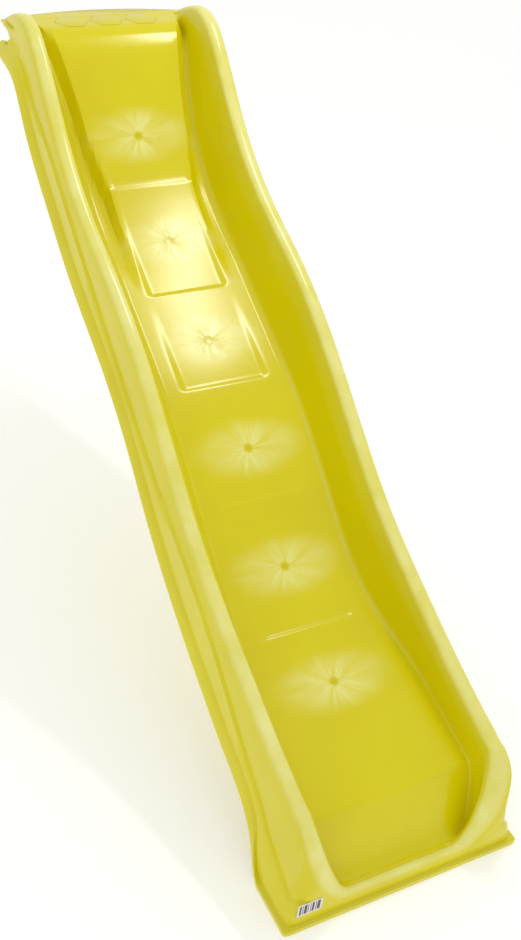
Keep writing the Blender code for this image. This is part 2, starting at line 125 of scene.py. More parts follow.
class Finish:
    """A material in the making: its Principled BSDF and the nodes that feed it."""

    def __init__(self, name: str, constants: dict[str, Any]) -> None:
        """Starts the material.

        Args:
            name: Name of the material.
            constants: Names of the shader's sockets to their values.
        """
        self.material = bpy.data.materials.new(name)
        self.material.use_nodes = True
        self.tree = self.material.node_tree
        self.shader = self.tree.nodes["Principled BSDF"]
        for socket, value in constants.items():
            self.shader.inputs[socket].default_value = value

    def feed(self, socket: str, source: Socket) -> None:
        """Links an output to one of the shader's sockets."""
        self.tree.links.new(source, self.shader.inputs[socket])

    def add(self, kind: str, inputs: dict[Any, Any] | None = None, **settings: Any) -> bpy.types.Node:
        """Adds one node with its settings and links.

        Args:
            kind: Its Blender type without the leading ShaderNode, such as TexNoise.
            inputs: Socket names or numbers to values, or to the outputs that feed them.
            **settings: Properties of the node itself.

        Returns:
            The new node.
        """
        node = self.tree.nodes.new("ShaderNode" + kind)
        for name, value in settings.items():
            setattr(node, name, value)
        for name, value in (inputs or {}).items():
            socket = node.inputs[name]
            if isinstance(value, Socket):
                self.tree.links.new(value, socket)
            else:
                socket.default_value = value
        return node

    def place(self) -> Socket:
        """Returns the place on the piece in its object coordinates."""
        return self.add("TexCoord").outputs["Object"]

    def math(self, operation: str, *values: float | Socket, clamp: bool = False) -> Socket:
        """Returns the result of a sum on up to three values."""
        return self.add("Math", dict(enumerate(values)), operation=operation, use_clamp=clamp).outputs[0]

    def length(self, vector: Socket) -> Socket:
        """Returns a vector's length."""
        return self.add("VectorMath", {0: vector}, operation="LENGTH").outputs["Value"]

    def noise(self, vector: Socket, scale: float, detail: float, roughness: float = 0.5) -> Socket:
        """Returns a noise from 0 to 1 with a number of waves per unit of its vector."""
        return self.add("TexNoise", {"Vector": vector, "Scale": scale, "Detail": detail,
                                     "Roughness": roughness}).outputs[0]

    def ramp(self, value: Socket, start: float, end: float, low: float = 0.0, high: float = 1.0,
             kind: str = "SMOOTHSTEP") -> Socket:
        """Returns what goes from low to high while a value goes from start to end."""
        return self.add("MapRange", {"Value": value, "From Min": start, "From Max": end, "To Min": low,
                                     "To Max": high}, interpolation_type=kind).outputs[0]

    def blend(self, factor: Socket, first: Any, second: Any) -> Socket:
        """Returns a mix of two colours, all second at a factor of 1."""
        mix = self.add("Mix", {"Factor": factor, "A": first, "B": second}, data_type="RGBA")
        return mix.outputs["Result"]

    def bump(self, height: Socket, strength: float, distance: float, below: Socket | None = None) -> Socket:
        """Returns the normal of a relief, on top of another normal if there is one."""
        inputs = {"Height": height, "Strength": strength, "Distance": distance}
        return self.add("Bump", inputs | ({"Normal": below} if below is not None else {})).outputs[0]


def add_piece(name: str, mesh: Mesh, materials: Sequence[Material] = (),
              sharp_degrees: float = 35.0) -> Piece:
    """Turns a bmesh into a smooth-shaded object at the origin.

    Args:
        name: Name of the piece.
        mesh: Its shape, which is freed.
        materials: Its material slots in order.
        sharp_degrees: Edges with a larger angle stay sharp.

    Returns:
        The new object.
    """
    data = bpy.data.meshes.new(name)
    mesh.to_mesh(data)
    mesh.free()
    data.shade_smooth()
    data.set_sharp_from_angle(angle=math.radians(sharp_degrees))
    for material in materials:
        data.materials.append(material)
    piece = bpy.data.objects.new(name, data)
    bpy.context.scene.collection.objects.link(piece)
    return piece


def finished(piece: Piece, sharp_degrees: float = 35.0) -> None:
    """Makes a piece's modifiers part of its mesh.

    Args:
        piece: The piece, whose modifiers are removed.
        sharp_degrees: Edges with a larger angle stay sharp.
    """
    graph = bpy.context.evaluated_depsgraph_get()
    data = bpy.data.meshes.new_from_object(piece.evaluated_get(graph), depsgraph=graph)
    piece.modifiers.clear()
    piece.data = data
    data.shade_smooth()
    data.set_sharp_from_angle(angle=math.radians(sharp_degrees))


def upright_edges(mesh: Mesh) -> list[Edge]:
    """Returns the edges whose two ends differ in height."""
    return [edge for edge in mesh.edges if abs(edge.verts[0].co.z - edge.verts[1].co.z) > LEVEL]


def bevel(mesh: Mesh, edges: Sequence[Edge], offset: float, segments: int) -> None:
    """Rounds edges.

    Args:
        mesh: What is changed.
        edges: Its edges to round.
        offset: How far back each edge is cut.
        segments: Faces across each rounding.
    """
    bmesh.ops.bevel(mesh, geom=edges, offset=offset, segments=segments, profile=0.5, affect="EDGES",
                    material=-1)


def add_box(mesh: Mesh, size: Sequence[float], centre: Sequence[float]) -> None:
    """Adds a box.

    Args:
        mesh: What takes the box.
        size: Its three sizes.
        centre: Its middle.
    """
    verts = bmesh.ops.create_cube(mesh, size=1.0)["verts"]
    bmesh.ops.scale(mesh, vec=size, verts=verts)
    bmesh.ops.translate(mesh, vec=centre, verts=verts)


def solid_modifier(piece: Piece, tool: Piece, operation: str) -> None:
    """Joins a solid to a piece, or cuts it away.

    Args:
        piece: What is changed.
        tool: The other solid.
        operation: UNION or DIFFERENCE.
    """
    modifier = piece.modifiers.new(tool.name, "BOOLEAN")
    modifier.operation = operation
    modifier.solver = "MANIFOLD"
    modifier.object = tool


def add_prism(mesh: Mesh, sides: int, radius: float, bottom: float, top: float, place: Plan) -> None:
    """Adds an upright prism with a corner towards +X.

    Args:
        mesh: What takes the prism.
        sides: How many sides it has.
        radius: Centre to corner.
        bottom: Height of its lower face.
        top: Height of its upper face.
        place: Its centre in plan.
    """
    centre = Matrix.Translation((*place, (top + bottom) / 2)) @ Matrix.Rotation(math.pi / 2, 4, "Z")
    bmesh.ops.create_cone(mesh, cap_ends=True, segments=sides, radius1=radius, radius2=radius,
                          depth=top - bottom, matrix=centre)


def spun(profile: Sequence[Plan], place: Plan, steps: int, closed: bool) -> Mesh:
    """Turns a profile round an upright axis.

    Args:
        profile: Points of (radius, height).
        place: Where the axis stands in plan.
        steps: Steps of the full turn.
        closed: Whether the profile's last point joins its first.

    Returns:
        The turned shape.
    """
    mesh = bmesh.new()
    verts = [mesh.verts.new((radius, 0.0, height)) for radius, height in profile]
    pairs = list(zip(verts, verts[1:])) + ([(verts[-1], verts[0])] if closed else [])
    edges = [mesh.edges.new(pair) for pair in pairs]
    bmesh.ops.spin(mesh, geom=verts + edges, axis=(0, 0, 1), cent=(0, 0, 0), angle=2 * math.pi,
                   steps=steps, use_merge=True)
    bmesh.ops.remove_doubles(mesh, verts=mesh.verts, dist=0.00001)
    bmesh.ops.recalc_face_normals(mesh, faces=mesh.faces)
    bmesh.ops.translate(mesh, verts=mesh.verts, vec=(*place, 0.0))
    return mesh


# ---------------------------------------------------------------- the slide's form
class SideLine:
    """A line in the slide's side view: a natural cubic spline that goes straight on past its ends."""

    def __init__(self, *points: Plan) -> None:
        """Fits the spline.

        Args:
            *points: Points of (d, height), from the foot up.
        """
        self.at, self.height = np.array(points, float).T
        self.step = np.diff(self.at)
        count = len(points)
        matrix, right = np.eye(count), np.zeros(count)
        rise = np.diff(self.height) / self.step
        for i in range(1, count - 1):
            matrix[i, i - 1:i + 2] = self.step[i - 1], 2 * (self.step[i - 1] + self.step[i]), self.step[i]
            right[i] = 6 * (rise[i] - rise[i - 1])
        self.bend = np.linalg.solve(matrix, right)
        self.first = rise[0] - self.step[0] * self.bend[1] / 6
        self.last = rise[-1] + self.step[-1] * self.bend[-2] / 6

    def __call__(self, d: float) -> float:
        """Returns the line's height at a distance from the toe."""
        if d <= self.at[0]:
            return float(self.height[0] + self.first * (d - self.at[0]))
        if d >= self.at[-1]:
            return float(self.height[-1] + self.last * (d - self.at[-1]))
        i = int(np.searchsorted(self.at, d)) - 1
        h, a, b = self.step[i], self.at[i + 1] - d, d - self.at[i]
        cubic = self.bend[i] * (a ** 3 / h - h * a) + self.bend[i + 1] * (b ** 3 / h - h * b)
        return float(cubic / 6 + (self.height[i] * a + self.height[i + 1] * b) / h)


@dataclass(frozen=True)
class Panel:
    """A shallow pressed field of the bed, deepest at its lower edge, where it ends in a small step."""

    upper: float
    lower: float
    half_width: float
    depth: float = 0.0030
    corner: float = 0.014
    edge: float = 0.013

    def depth_at(self, x: float, d: float) -> float:
        """Depth of the field below the bed.

        Args:
            x: Distance from the centre line.
            d: Distance from the toe.

        Returns:
            The depth in metres, 0 outside the field.
        """
        if not self.lower < d < self.upper:
            return 0.0
        side, end = self.half_width - abs(x), d - self.lower
        inside = min(side, end)
        if side < self.corner and end < self.corner:
            inside = self.corner - math.hypot(self.corner - side, self.corner - end)
        down = (self.upper - d) / (self.upper - self.lower)
        return self.depth * smooth_step(0.0, 1.0, down) * smooth_step(0.0, self.edge, inside)


@dataclass(frozen=True)
class Outline:
    """A line round the slide in plan: two straight sides, and a front with rounded corners."""

    half_width: float
    front: float
    corner: float

    def rounded(self, x: float, d: float) -> Plan:
        """Moves a point in the square round a corner onto the corner's arcs.

        Args:
            x: The point's place across.
            d: The point's distance from the toe.

        Returns:
            The moved point, or the point itself outside the squares.
        """
        across = (abs(x) - (self.half_width - self.corner)) / self.corner
        along = (self.front + self.corner - d) / self.corner
        if across <= 0 or along <= 0:
            return x, d
        reach = max(across, along)
        turn = math.pi / 4 * min(across, along) / reach
        angle = turn if across >= along else math.pi / 2 - turn
        return (math.copysign(self.half_width - self.corner + self.corner * reach * math.cos(angle), x),
                self.front + self.corner - self.corner * reach * math.sin(angle))


@dataclass(frozen=True)
class Loop(Outline):
    """One line of the wall, with how far it lies under the rail's crest beside the slide and at the exit."""

    side_drop: float
    exit_drop: float


@dataclass(frozen=True)
class BorderSpot:
    """A place on the bed's border: on a side at a distance d, or at the exit at a share of the width."""

    side: int
    at: float


@dataclass
class SlideForm:
    """The form of the moulding: its side-view lines, its wall's outline and the rules that join them."""

    lip_top: float = 1.206
    lip_rear: float = 1.868
    lip_rear_corner: float = 1.824
    lip_half_width: float = 0.256
    bed_middle: float = 0.152
    bed_exit: float = 0.196
    bed_lip: float = 0.200
    exit_widening: Plan = (0.28, 0.60)
    lip_widening: Plan = (1.550, 1.800)
    bed_front: float = 0.046
    bed_corner: float = 0.065
    front_face: float = 0.009
    flange_half_width: float = 0.2845
    flange_height: float = 0.011
    rear_of_wall: float = 1.840
    shoulders: tuple[Plan, ...] = ((1.455, 0.112), (1.553, 0.133), (1.633, 0.144), (1.692, 0.158),
                                   (1.735, 0.176), (1.795, 0.200))
    shoulder_fall: Plan = (-0.006, 0.014)
    channel_depth: float = 0.034
    channel_start: Plan = (1.22, 1.50)
    channel_end: Plan = (1.790, 1.835)
    pad_drop: float = 0.0005
    pad_flat: float = 1.755
    pad_bend: float = 15.2
    pad_roll: float = 0.065
    pad_start: float = 1.600
    crease: float = 0.006
    exit_lip: float = 0.044
    exit_rise: Plan = (0.132, 0.268)
    rail_end: float = 0.254
    foot_length: float = 0.128
    foot_flare: float = 0.017
    bead_step: float = 0.0055
    band_step: float = 0.007
    band_height: float = 0.028
    bead_above_band: float = 0.016
    bead_below_crest: float = 0.034
    front_bead_share: float = 0.55
    front_bead_drop: float = 0.02
    beside_blend: float = 0.05
    ground_blend: float = 0.10
    step_half: float = 0.004
    flange_trim: Plan = (0.0025, 0.0035)
    flare_shares: Plan = (0.3, 0.35)
    skirt_widths: Plan = (0.2500, 0.2530)
    hem: float = 0.006
    gate_pitch: float = 0.282
    gate_first: float = 0.368
    gate_count: int = 6
    gate_radius: float = 0.0085
    gate_dimple: float = 0.0006
    gate_stretch: float = 1.2
    front_blend: float = 0.30
    rear_blend: float = 0.12
    exit_blend: Plan = (0.05, 0.16)
    lip_blend: Plan = (-0.03, 0.04)
    rail: SideLine = field(default_factory=lambda: SideLine(
        (0.090, 0.254), (0.192, 0.290), (0.405, 0.385), (0.623, 0.502), (0.780, 0.620), (0.937, 0.743),
        (1.124, 0.854), (1.296, 0.932), (1.478, 1.063), (1.590, 1.178), (1.655, 1.232), (1.710, 1.247),
        (1.775, 1.234), (1.835, 1.207)))
    slope: SideLine = field(default_factory=lambda: SideLine(
        (0.117, 0.177), (0.368, 0.250), (0.629, 0.371), (0.854, 0.548), (1.097, 0.691), (1.339, 0.823),
        (1.562, 1.011), (1.683, 1.166)))
    scoop: SideLine = field(default_factory=lambda: SideLine(
        (0.046, 0.0385), (0.060, 0.052), (0.080, 0.094), (0.117, 0.177)))
    bead: SideLine = field(default_factory=lambda: SideLine(
        (0.030, 0.045), (0.250, 0.190), (0.510, 0.388), (0.775, 0.535), (1.065, 0.720), (1.300, 0.880),
        (1.600, 1.080), (1.820, 1.170)))
    lower: SideLine = field(default_factory=lambda: SideLine(
        (0.128, 0.0), (0.155, 0.026), (0.190, 0.073), (0.240, 0.125), (0.320, 0.168), (0.477, 0.248),
        (0.635, 0.341), (0.785, 0.451), (0.925, 0.571), (1.090, 0.679), (1.285, 0.781), (1.460, 0.901),
        (1.617, 1.033), (1.675, 1.096), (1.745, 1.123), (1.815, 1.135)))
    panels: tuple[Panel, ...] = (
        Panel(1.600, 1.455, 0.112), Panel(1.452, 1.207, 0.104), Panel(1.204, 0.977, 0.112),
        Panel(0.974, 0.747, 0.108), Panel(0.744, 0.489, 0.118))
    loops: tuple[Loop, ...] = (
        Loop(0.2090, 0.0310, 0.062, 0.0130, 0.0045), Loop(0.2112, 0.0285, 0.060, 0.0062, 0.0022),
        Loop(0.2160, 0.0250, 0.058, 0.0017, 0.0006), Loop(0.2225, 0.0210, 0.055, 0.0000, 0.0000),
        Loop(0.2340, 0.0160, 0.052, 0.0003, 0.0005), Loop(0.2405, 0.0130, 0.047, 0.0026, 0.0026),
        Loop(0.2450, 0.0112, 0.043, 0.0078, 0.0065), Loop(0.2475, 0.0100, 0.038, 0.0170, 0.0125))
    crest_loop: int = 3
    cove: tuple[Plan, ...] = ((0.10, 0.035), (0.22, 0.125), (0.38, 0.300), (0.70, 0.660))
    skirt_corners: tuple[float, ...] = (0.028, 0.014, 0.010, 0.008, 0.008)
    rear_of_skirt: tuple[float, ...] = (1.800, 1.768, 1.776, 1.800, 1.810, 1.815)

    def __post_init__(self) -> None:
        """Works out the toe's place and the length of the bed's centre line."""
        self.toe = -self.lip_rear / 2
        self.pad_top = self.lip_top - self.pad_drop
        self.run_d = np.linspace(self.bed_front, self.rear_of_wall, 600)
        heights = np.array([self.bed(d, 0.0) for d in self.run_d])
        steps = np.hypot(np.diff(self.run_d), np.diff(heights))
        self.run_length = np.concatenate([[0.0], np.cumsum(steps)])

    def run(self, d: float) -> float:
        """Returns the length of the bed's centre line from its front to a distance d."""
        return float(np.interp(d, self.run_d, self.run_length))

    def gate_places(self) -> list[float]:
        """Returns the distances d of the injection marks, evenly spaced along the bed's surface."""
        first = self.run(self.gate_first)
        return [float(np.interp(first + i * self.gate_pitch, self.run_length, self.run_d))
                for i in range(self.gate_count)]

    def bed_half_width(self, d: float) -> float:
        """Returns half the bed's width at a distance d; it widens towards the exit and the lip."""
        at_exit, at_lip = 1 - smooth_step(*self.exit_widening, d), smooth_step(*self.lip_widening, d)
        return (self.bed_middle + (self.bed_exit - self.bed_middle) * at_exit
                + (self.bed_lip - self.bed_middle) * at_lip)

    def pad(self, d: float) -> float:
        """Returns the height of the start pad: level at the rear, rolled over, then straight down."""
        ahead = max(0.0, self.pad_flat - d)
        rolled = min(ahead, self.pad_roll)
        return self.pad_top - self.pad_bend * (rolled * rolled / 2 + self.pad_roll * (ahead - rolled))

    def bed(self, d: float, x: float) -> float:
        """Height of the bed, with a channel along each side of its raised start section.

        Args:
            d: Distance from the toe.
            x: Distance from the centre line.

        Returns:
            The height in metres.
        """
        a, b = self.slope(d), self.pad(d) if d > self.pad_start else self.scoop(d)
        height = (a + b - math.hypot(a - b, self.crease)) / 2
        channel = self.channel_depth * smooth_step(*self.channel_start, d)
        channel *= 1 - smooth_step(*self.channel_end, d)
        shoulder = float(np.interp(d, *zip(*self.shoulders)))
        top, foot = self.shoulder_fall
        return height - channel * smooth_step(shoulder + top, shoulder + foot, abs(x))

    def pressed_bed(self, d: float, x: float, gates: Sequence[float]) -> float:
        """Height of the bed with its pressed panels and the dimples of its injection marks.

        Args:
            d: Distance from the toe.
            x: Distance from the centre line.
            gates: Distances of the injection marks.

        Returns:
            The height in metres.
        """
        height = self.bed(d, x) - sum(panel.depth_at(x, d) for panel in self.panels)
        for gate in gates:
            reach = math.hypot(x, (d - gate) * self.gate_stretch) / self.gate_radius
            if reach < 3:
                height -= self.gate_dimple * math.exp(-reach * reach)
        return height

    def placed(self, spot: BorderSpot, line: Outline, rear: float) -> Plan:
        """Plan position of a border spot on one line of the wall.

        Args:
            spot: The place on the bed's border.
            line: The line.
            rear: Where the line ends at the deck.

        Returns:
            The position as (x, d).
        """
        if not spot.side:
            return line.rounded(spot.at * line.half_width, line.front)
        ahead = max(0.0, 1 - (spot.at - self.bed_front) / self.front_blend)
        behind = max(0.0, 1 - (self.rear_of_wall - spot.at) / self.rear_blend)
        d = spot.at + (line.front - self.bed_front) * ahead
        d += (rear - self.rear_of_wall) * behind
        return line.rounded(spot.side * line.half_width, d)

    def crests(self, spots: Sequence[BorderSpot]) -> list[float]:
        """Height of the rail's crest at each border spot, where it turns down into the exit lip.

        Args:
            spots: The border's places in order.

        Returns:
            The heights in the same order.
        """
        plan = [self.placed(spot, self.loops[self.crest_loop], self.rear_of_wall) for spot in spots]
        run = np.concatenate([[0.0], np.cumsum([math.dist(a, b) for a, b in zip(plan, plan[1:])])])
        low, high = (self.exit_rise[1] + offset for offset in self.lip_blend)
        heights = []
        for (_, d), length in zip(plan, np.abs(run - run[-1] / 2)):
            risen = smooth_step(*self.exit_rise, float(length))
            lip = self.exit_lip + (self.rail_end - self.exit_lip) * risen
            share = smooth_step(low, high, float(length))
            heights.append((1 - share) * lip + share * self.rail(d))
        return heights

    def skirt_heights(self, spot: BorderSpot, d: float, crest: float) -> tuple[Sequence[float], float, float]:
        """Heights of the five skirt lines at a border spot.

        Args:
            spot: The place on the border.
            d: Distance of the rail's outer edge from the toe.
            crest: Height of the rail's crest.

        Returns:
            The heights from the bead down, how far the spot stands on the ground, and how far it is
            beside the slide and not round its front corner.
        """
        side = float(spot.side != 0)
        beside = side * smooth_step(0.0, self.beside_blend, d)
        lower = side * max(0.0, self.lower(d)) if d > self.foot_length else 0.0
        grounded = 1 - smooth_step(0.0, self.ground_blend, lower)
        band = lower + self.band_height + (self.flange_height - self.band_height) * grounded
        bead = min(max(self.bead(d), band + self.bead_above_band), crest - self.bead_below_crest)
        front = band + self.front_bead_share * (crest - self.front_bead_drop - band)
        bead = beside * bead + (1 - beside) * front
        half, (top, foot) = self.step_half, self.flange_trim
        return ((bead + half, bead - half, band + half - top * grounded, band - half + foot * grounded,
                 lower), grounded, beside)

    def section(self, spot: BorderSpot, crest: float, floor: float) -> list[Point]:
        """The wall's section at a border spot, as (x, d, height) from the bed out to the skirt's lower edge.

        Args:
            spot: The place on the border.
            crest: Height of the rail's crest there.
            floor: Height of the bed there.

        Returns:
            The section's points, the bed's border left out.
        """
        at_exit = 1 - smooth_step(*self.exit_blend, spot.at) if spot.side else 1.0
        first = self.loops[0]
        top = crest - first.side_drop - (first.exit_drop - first.side_drop) * at_exit
        points = []
        half = self.bed_half_width(spot.at if spot.side else self.bed_front)
        for out, up in self.cove:
            line = Outline(half + out * (first.half_width - half),
                           self.bed_front + out * (first.front - self.bed_front),
                           self.bed_corner + out * (first.corner - self.bed_corner))
            points.append((*self.placed(spot, line, self.rear_of_wall), floor + up * (top - floor)))
        for loop in self.loops:
            rear = self.rear_of_wall if loop is not self.loops[-1] else self.rear_of_skirt[0]
            points.append((*self.placed(spot, loop, rear),
                           crest - loop.side_drop - (loop.exit_drop - loop.side_drop) * at_exit))
        heights, grounded, beside = self.skirt_heights(spot, points[-1][1], crest)
        bead, band = self.bead_step * beside, self.band_step * beside * (1 - grounded)
        flare, (above, below) = self.foot_flare * grounded, self.flare_shares
        upper, lower = self.skirt_widths
        widths = [upper + above * flare, upper + bead + below * flare, lower + bead + flare,
                  (lower + bead + band) * (1 - grounded) + self.flange_half_width * grounded]
        widths.append(widths[-1] + self.hem * (1 - grounded))
        fronts = [self.front_face] * 3 + [self.front_face * (1 - grounded)] * 2
        for *line, height, rear in zip(widths, fronts, self.skirt_corners, heights, self.rear_of_skirt[1:]):
            points.append((*self.placed(spot, Outline(*line), rear), height))
        return points


# ---------------------------------------------------------------- finishes
@dataclass(frozen=True)
class MouldedPolyethylene:
    """High-density polyethylene, injection moulded and dyed yellow.

    A glossy, slightly waxy skin: light goes a little way in, the surface has a faint orange peel, and the
    plastic's flow leaves pale streaks round each injection mark, which also carry painted highlight; a
    painted sheen spreads round each mark and lies along the rail's crest, cove and skirt lines.
    """

    name: str = "moulded_polyethylene"
    deep: str = "#D6C800"
    pale: str = "#E4D900"
    # pale colour of the flow streaks and of the painted sheen
    sheen_and_streak: str = "#F6F4A8"
    mark: str = "#C6B800"
    ior: float = 1.53
    roughness: float = 0.19
    shine: float = 0.32
    glow: float = 0.12
    glow_reach: Point = (0.012, 0.010, 0.002)
    cloud_mm: float = 240.0
    peel_mm: float = 6.0  # real peel is finer, and drawn coarser so that it shows
    peel_relief: Plan = (0.10, 0.0004)
    # noise that breaks up the painted sheen on the wall's lines
    sheen_breakup_mm: float = 70.0
    sheen_breakup_shares: Plan = (0.35, 0.75)
    streaks_per_turn: float = 34.0
    streak_breaks_per_m: float = 18.0
    streak_noise: Plan = (0.42, 0.72)
    streak_ends: Plan = (0.010, 0.075)
    sheen_and_streak_share: float = 0.62
    streak_relief: Plan = (0.35, 0.0006)
    sheen_reach: Plan = (0.150, 0.075)  # how far the painted sheen round each mark spreads across and along, in metres
    sheen_fade: Plan = (0.35, 1.15)
    sheen_gaps: float = 0.25
    sheen_share: float = 0.80
    mark_rim: Plan = (0.006, 0.016)
    mark_reach: Plan = (0.003, 0.014)
    mark_share: float = 0.45

    def flow_streaks_and_sheen(self, finish: Finish, form: SlideForm) -> tuple[Socket, Socket]:
        """Streaks and a painted sheen round each injection mark of the bed, on the piece's own UV map in
        metres; the streaks are partly flow marks and partly painted highlight.

        Args:
            finish: The material.
            form: The slide's form, for the marks' spacing.

        Returns:
            The strength of the streaks and of the painted sheen, and the distance from the nearest mark in
            metres.
        """
        split = finish.add("SeparateXYZ", {0: finish.add("UVMap", uv_map="girth").outputs[0]})
        across, along = split.outputs["X"], split.outputs["Y"]
        start = form.run(form.gate_first) - form.gate_pitch / 2
        end = start + form.gate_count * form.gate_pitch
        wrapped = finish.math("WRAP", finish.math("SUBTRACT", along, start), form.gate_pitch, 0.0)
        centred = finish.math("SUBTRACT", wrapped, form.gate_pitch / 2)
        arm = finish.add("CombineXYZ", {"X": across, "Y": centred}).outputs[0]
        reach = finish.length(arm)
        turn = finish.math("ARCTAN2", centred, across)
        place = finish.add("CombineXYZ", {
            "X": finish.math("MULTIPLY", turn, self.streaks_per_turn / (2 * math.pi)),
            "Y": finish.math("MULTIPLY", reach, self.streak_breaks_per_m),
            "Z": finish.math("SNAP", along, form.gate_pitch)}).outputs[0]
        rays = finish.ramp(finish.noise(place, 1.0, 4.0, 0.65), *self.streak_noise, kind="LINEAR")
        near = finish.ramp(reach, *self.streak_ends, 1.0, 0.0)
        outside = finish.ramp(reach, *self.mark_rim)
        streaks_and_sheen = finish.math("MULTIPLY", finish.math("MULTIPLY", near, outside), rays)
        # painted sheen: a pale veil round each mark that stands in for the bed's highlights
        wide, long = self.sheen_reach
        spread = finish.add("VectorMath", {0: arm, 1: (1 / wide, 1 / long, 0.0)}, operation="MULTIPLY")
        veil = finish.ramp(finish.length(spread.outputs[0]), *self.sheen_fade, 1.0, 0.0, kind="SMOOTHERSTEP")
        broken = finish.ramp(finish.noise(place, 0.35, 3.0), 0.35, 0.65, self.sheen_gaps, 1.0, kind="LINEAR")
        painted_sheen = finish.math("MULTIPLY", finish.math("MULTIPLY", veil, broken), outside)
        both = finish.math("MULTIPLY_ADD", painted_sheen, self.sheen_share, streaks_and_sheen)
        within = finish.math("MULTIPLY", finish.math("GREATER_THAN", along, start),
                             finish.math("LESS_THAN", along, end))
        strength = finish.math("MULTIPLY", both, within, clamp=True)
        return strength, finish.math("ADD", reach, finish.math("SUBTRACT", 1.0, within))

    def material(self, form: SlideForm, marks: bool) -> Material:
        """Builds the material.

        Args:
            form: The slide's form, for the marks' spacing.
            marks: Whether the piece has the chute's injection marks, with their streaks and painted sheen,
                and the painted sheen along the wall's lines.

        Returns:
            The material.
        """
        finish = Finish(self.name if marks else self.name + "_plain", {
            "IOR": self.ior, "Roughness": self.roughness, "Specular IOR Level": self.shine,
            "Subsurface Weight": self.glow, "Subsurface Radius": self.glow_reach, "Subsurface Scale": 1.0})
        place = finish.place()
        clouds = finish.noise(place, 1000 / self.cloud_mm, 3.0)
        colour = finish.blend(clouds, linear(self.deep), linear(self.pale))
        normal = finish.bump(finish.noise(place, 1000 / self.peel_mm, 2.0), *self.peel_relief)
        if marks:
            # the streaks, partly flow marks and partly painted highlight, and the painted sheen lighten the
            # colour
            streaks_and_sheen, reach = self.flow_streaks_and_sheen(finish, form)
            # painted highlight: the crest attribute paints the rail's crest, the cove and the skirt's lines
            # paler, broken up by noise
            crest = finish.add("Attribute", attribute_name="crest").outputs["Fac"]
            sheen_breakup = finish.ramp(finish.noise(place, 1000 / self.sheen_breakup_mm, 4.0), 0.30, 0.70, *self.sheen_breakup_shares,
                                 kind="LINEAR")
            for share in (finish.math("MULTIPLY", crest, sheen_breakup),
                          finish.math("MULTIPLY", streaks_and_sheen, self.sheen_and_streak_share)):
                colour = finish.blend(share, colour, linear(self.sheen_and_streak))
            spot = finish.ramp(reach, *self.mark_reach, self.mark_share, 0.0)
            colour = finish.blend(spot, colour, linear(self.mark))
            normal = finish.bump(streaks_and_sheen, *self.streak_relief, normal)
        finish.feed("Base Color", colour)
        finish.feed("Normal", normal)
        return finish.material


@dataclass(frozen=True)
class ZincPlate:
    """Steel with a bright zinc plating from a barrel: grey, softly shiny, with a fine crystal grain."""

    name: str = "zinc_plated_steel"
    light: str = "#C9CBCD"
    dark: str = "#9C9FA3"
    roughness: float = 0.34
    grain_mm: float = 1.2

    def material(self) -> Material:
        """Builds the material and returns it."""
        finish = Finish(self.name, {"Metallic": 1.0, "Roughness": self.roughness})
        grain = finish.add("TexVoronoi", {"Vector": finish.place(), "Scale": 1000 / self.grain_mm})
        colour = finish.blend(grain.outputs["Distance"], linear(self.light), linear(self.dark))
        finish.feed("Base Color", colour)
        return finish.material


@dataclass(frozen=True)
class PrintedFilm:
    """White polypropylene film with thermal print: satin, with the faintest unevenness of its glue below."""

    name: str = "label_film"
    film: str = "#E9E4E2"
    ink: str = "#4A4648"
    roughness: float = 0.42
    glue_mm: float = 9.0
    glue_relief: Plan = (0.08, 0.0004)

    def material(self, printed: bool) -> Material:
        """Builds the film's or the ink's material.

        Args:
            printed: Whether it is the ink.

        Returns:
            The material.
        """
        finish = Finish("label_ink" if printed else self.name, {
            "Base Color": linear(self.ink if printed else self.film), "Roughness": self.roughness})
        glue = finish.noise(finish.place(), 1000 / self.glue_mm, 1.0)
        finish.feed("Normal", finish.bump(glue, *self.glue_relief))
        return finish.material


